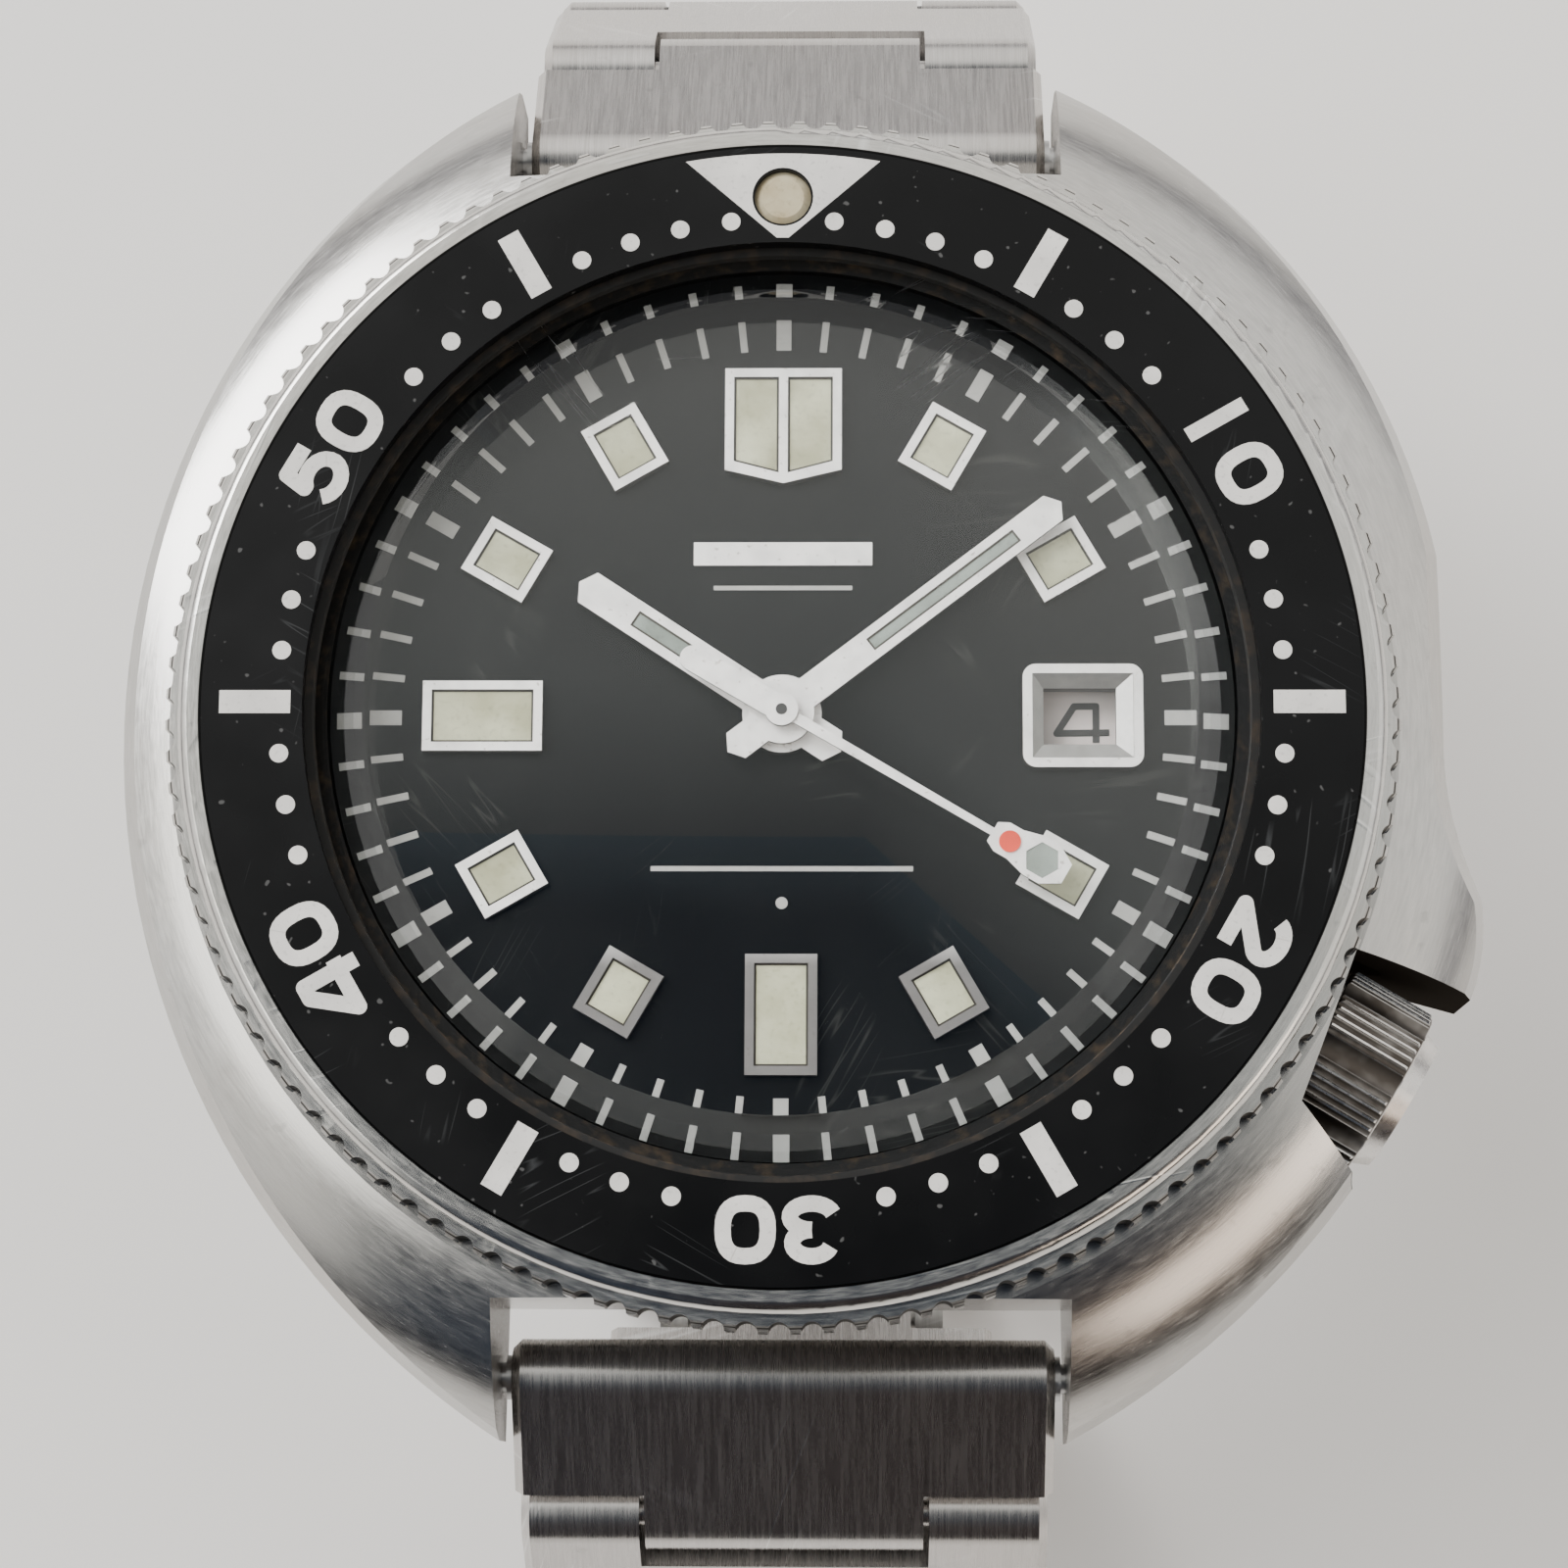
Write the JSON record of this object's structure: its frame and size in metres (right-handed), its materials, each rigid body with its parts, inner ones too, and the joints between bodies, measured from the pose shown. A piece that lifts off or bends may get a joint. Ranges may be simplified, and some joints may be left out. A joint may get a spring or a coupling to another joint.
{
  "type": "wristwatch",
  "caption": "Steel automatic diver's wristwatch with a rotating bezel, screw crown, date window and a folded-link bracelet closed as worn.",
  "frame": {"origin": "centre of the case back's outer face, on the axis of the hands", "axes": "+Z out of the dial, +Y towards 12 o'clock, +X towards 3 o'clock; the bracelet loop hangs below the case in -Z"},
  "size_m": [0.046, 0.066, 0.0502],
  "materials": {
    "steel_case": "brushed with polished edges, worn",
    "steel_bezel": "polished, scratched",
    "steel_link": "lengthwise brushed, worn",
    "steel_clasp": "lengthwise brushed",
    "steel_bar": "drawn",
    "steel_back": "turned",
    "steel_crown": "knurled, worn",
    "insert_black": "satin black, scratched",
    "crystal_glass": "clear mineral glass, scratched",
    "seal_rubber": "matte",
    "retaining_ring": "dark",
    "dial_black": "satin charcoal",
    "marker_silver": "polished",
    "lume_cream": "aged",
    "hand_white": "satin silver",
    "hand_lume": "aged grey-green",
    "pearl_lume": "aged brown-yellow",
    "date_ring": "off-white",
    "movement_nickel": "grained nickel",
    "movement_brass": "gilt",
    "rotor_steel": "striped",
    "holder_plastic": "moulded"
  },
  "bodies": {
    "case": {"case_middle": "steel_case", "bezel_gasket": "seal_rubber", "bezel_click_ball": "steel_bar", "bezel_click_spring": "steel_bar", "crystal_gasket": "seal_rubber", "crystal_retaining_ring": "retaining_ring", "crystal": "crystal_glass", "case_back": "steel_back", "case_back_gasket": "seal_rubber", "crown_tube": "steel_bar", "spring_bar_12": "steel_bar", "spring_bar_6": "steel_bar", "dial": "dial_black", "hour_markers": "marker_silver", "marker_lume": "lume_cream", "date_window_frame": "marker_silver", "movement_ring": "holder_plastic", "main_plate": "movement_nickel", "train_bridge": "movement_nickel", "balance_bridge": "movement_nickel", "rotor_bearing": "steel_bar"},
    "bezel": {"bezel_ring": "steel_bezel", "bezel_insert": "insert_black", "bezel_pearl": "pearl_lume"},
    "setting": {"setting_lever": "movement_nickel"},
    "crown": {"crown": "steel_crown", "winding_stem": "steel_bar", "crown_gasket": "seal_rubber"},
    "hour": {"hour_hand": "hand_white", "hour_hand_lume": "hand_lume"},
    "minute": {"minute_hand": "hand_white", "minute_hand_lume": "hand_lume"},
    "second": {"second_hand": "hand_white", "second_hand_lume": "hand_lume"},
    "date": {"date_disc": "date_ring"},
    "rotor": {"rotor": "rotor_steel"},
    "balance": {"balance_wheel": "movement_brass", "hairspring": "steel_bar"},
    "link_12_1": {"link_12_1": "steel_link"},
    "link_12_2": {"link_12_2": "steel_link"},
    "link_12_3": {"link_12_3": "steel_link"},
    "link_12_4": {"link_12_4": "steel_link"},
    "link_12_5": {"link_12_5": "steel_link"},
    "link_12_6": {"link_12_6": "steel_link"},
    "link_12_7": {"link_12_7": "steel_link"},
    "link_6_1": {"link_6_1": "steel_link"},
    "link_6_2": {"link_6_2": "steel_link"},
    "link_6_3": {"link_6_3": "steel_link"},
    "link_6_4": {"link_6_4": "steel_link"},
    "link_6_5": {"link_6_5": "steel_link"},
    "link_6_6": {"link_6_6": "steel_link"},
    "link_6_7": {"link_6_7": "steel_link"},
    "end_cap": {"clasp_end_cap": "steel_clasp", "clasp_spring_bar": "steel_bar"},
    "leaf_1": {"clasp_leaf_1": "steel_clasp"},
    "leaf_2": {"clasp_leaf_2": "steel_clasp"},
    "cover": {"clasp_cover": "steel_clasp"}
  },
  "joints": [
    {"name": "bezel_turn", "type": "hinge", "parent": "case", "child": "bezel", "pos_m": [0, 0, 0.0108], "axis": [0, 0, 1], "continuous": true},
    {"name": "crown_pull", "type": "slide", "parent": "case", "child": "setting", "axis": [0.8572, -0.515, 0], "range_m": [0, 0.0012]},
    {"name": "crown_turn", "type": "hinge", "parent": "setting", "child": "crown", "pos_m": [0.01843, -0.01107, 0.0056], "axis": [0.8572, -0.515, 0], "continuous": true},
    {"name": "minute_turn", "type": "hinge", "parent": "case", "child": "minute", "pos_m": [0, 0, 0.0099], "axis": [0, 0, -1], "continuous": true},
    {"name": "hour_turn", "type": "hinge", "parent": "case", "child": "hour", "pos_m": [0, 0, 0.0095], "axis": [0, 0, -1], "continuous": true},
    {"name": "second_turn", "type": "hinge", "parent": "case", "child": "second", "pos_m": [0, 0, 0.0102], "axis": [0, 0, -1], "continuous": true},
    {"name": "date_turn", "type": "hinge", "parent": "case", "child": "date", "pos_m": [0, 0, 0.0079], "axis": [0, 0, 1], "continuous": true},
    {"name": "rotor_turn", "type": "hinge", "parent": "case", "child": "rotor", "pos_m": [0, 0, 0.002], "axis": [0, 0, 1], "continuous": true},
    {"name": "balance_swing", "type": "hinge", "parent": "case", "child": "balance", "pos_m": [-0.00446, 0.00618, 0.0053], "axis": [0, 0, 1], "range_deg": [-140, 140], "stiffness_Nm_per_rad": 0.0000004},
    {"name": "hinge_12_1", "type": "hinge", "parent": "case", "child": "link_12_1", "pos_m": [0, 0.0216, 0.0036], "axis": [1, 0, 0], "range_deg": [0, 30]},
    {"name": "hinge_12_2", "type": "hinge", "parent": "link_12_1", "child": "link_12_2", "pos_m": [0, 0.02604, 0.00071], "axis": [1, 0, 0], "range_deg": [0, 22]},
    {"name": "hinge_12_3", "type": "hinge", "parent": "link_12_2", "child": "link_12_3", "pos_m": [0, 0.02991, -0.00524], "axis": [1, 0, 0], "range_deg": [0, 22]},
    {"name": "hinge_12_4", "type": "hinge", "parent": "link_12_3", "child": "link_12_4", "pos_m": [0, 0.03169, -0.01212], "axis": [1, 0, 0], "range_deg": [0, 22]},
    {"name": "hinge_12_5", "type": "hinge", "parent": "link_12_4", "child": "link_12_5", "pos_m": [0, 0.03119, -0.0192], "axis": [1, 0, 0], "range_deg": [0, 22]},
    {"name": "hinge_12_6", "type": "hinge", "parent": "link_12_5", "child": "link_12_6", "pos_m": [0, 0.02848, -0.02576], "axis": [1, 0, 0], "range_deg": [0, 22]},
    {"name": "hinge_12_7", "type": "hinge", "parent": "link_12_6", "child": "link_12_7", "pos_m": [0, 0.02382, -0.03112], "axis": [1, 0, 0], "range_deg": [0, 22]},
    {"name": "hinge_6_1", "type": "hinge", "parent": "case", "child": "link_6_1", "pos_m": [0, -0.0216, 0.0036], "axis": [1, 0, 0], "range_deg": [-30, 0]},
    {"name": "hinge_6_2", "type": "hinge", "parent": "link_6_1", "child": "link_6_2", "pos_m": [0, -0.02604, 0.00071], "axis": [1, 0, 0], "range_deg": [-22, 0]},
    {"name": "hinge_6_3", "type": "hinge", "parent": "link_6_2", "child": "link_6_3", "pos_m": [0, -0.02991, -0.00524], "axis": [1, 0, 0], "range_deg": [-22, 0]},
    {"name": "hinge_6_4", "type": "hinge", "parent": "link_6_3", "child": "link_6_4", "pos_m": [0, -0.03169, -0.01212], "axis": [1, 0, 0], "range_deg": [-22, 0]},
    {"name": "hinge_6_5", "type": "hinge", "parent": "link_6_4", "child": "link_6_5", "pos_m": [0, -0.03119, -0.0192], "axis": [1, 0, 0], "range_deg": [-22, 0]},
    {"name": "hinge_6_6", "type": "hinge", "parent": "link_6_5", "child": "link_6_6", "pos_m": [0, -0.02848, -0.02576], "axis": [1, 0, 0], "range_deg": [-22, 0]},
    {"name": "hinge_6_7", "type": "hinge", "parent": "link_6_6", "child": "link_6_7", "pos_m": [0, -0.02382, -0.03112], "axis": [1, 0, 0], "range_deg": [-22, 0]},
    {"name": "end_cap_turn", "type": "hinge", "parent": "link_12_7", "child": "end_cap", "pos_m": [0, 0.0177, -0.03472], "axis": [1, 0, 0], "range_deg": [0, 20]},
    {"name": "leaf_1_turn", "type": "hinge", "parent": "link_6_7", "child": "leaf_1", "pos_m": [0, -0.0177, -0.03472], "axis": [1, 0, 0], "range_deg": [-22, 0]},
    {"name": "leaf_2_turn", "type": "hinge", "parent": "leaf_1", "child": "leaf_2", "pos_m": [0, 0.011, -0.03569], "axis": [1, 0, 0], "range_deg": [0, 60]},
    {"name": "clasp_open", "type": "hinge", "parent": "leaf_2", "child": "cover", "pos_m": [0, -0.0142, -0.03617], "axis": [1, 0, 0], "range_deg": [-120, 0]}
  ],
  "couplings": [
    {"joint": "hour_turn", "follows": "minute_turn", "ratio": 0.083333},
    {"joint": "second_turn", "follows": "minute_turn", "ratio": 60},
    {"joint": "leaf_2_turn", "follows": "clasp_open", "ratio": -0.5}
  ]
}
